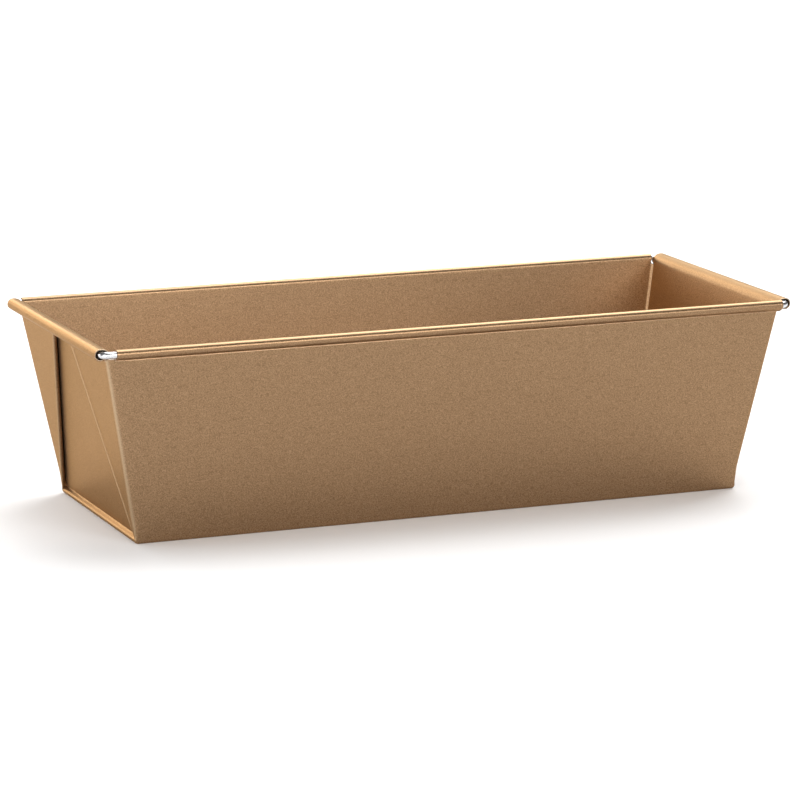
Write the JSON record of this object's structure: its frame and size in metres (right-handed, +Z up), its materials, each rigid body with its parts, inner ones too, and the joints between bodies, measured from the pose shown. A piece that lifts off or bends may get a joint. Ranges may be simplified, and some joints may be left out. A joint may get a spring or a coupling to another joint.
{
  "type": "loaf pan",
  "caption": "Long flared loaf pan folded from coated sheet steel, with doubled folds lying flat against each end and a rim curled over a round steel wire.",
  "frame": {"origin": "middle of the flat bottom, on the surface the pan stands on", "axes": "+X along the length, +Y across the width, +Z up out of the open top"},
  "size_m": [0.2998, 0.126, 0.0813],
  "materials": {
    "champagne_coating": "satin champagne-gold non-stick coating with a fine metallic grain",
    "bright_steel": "bright drawn steel wire"
  },
  "bodies": {
    "root": {"pan_body": "champagne_coating", "rim_wire": "bright_steel"}
  },
  "joints": []
}
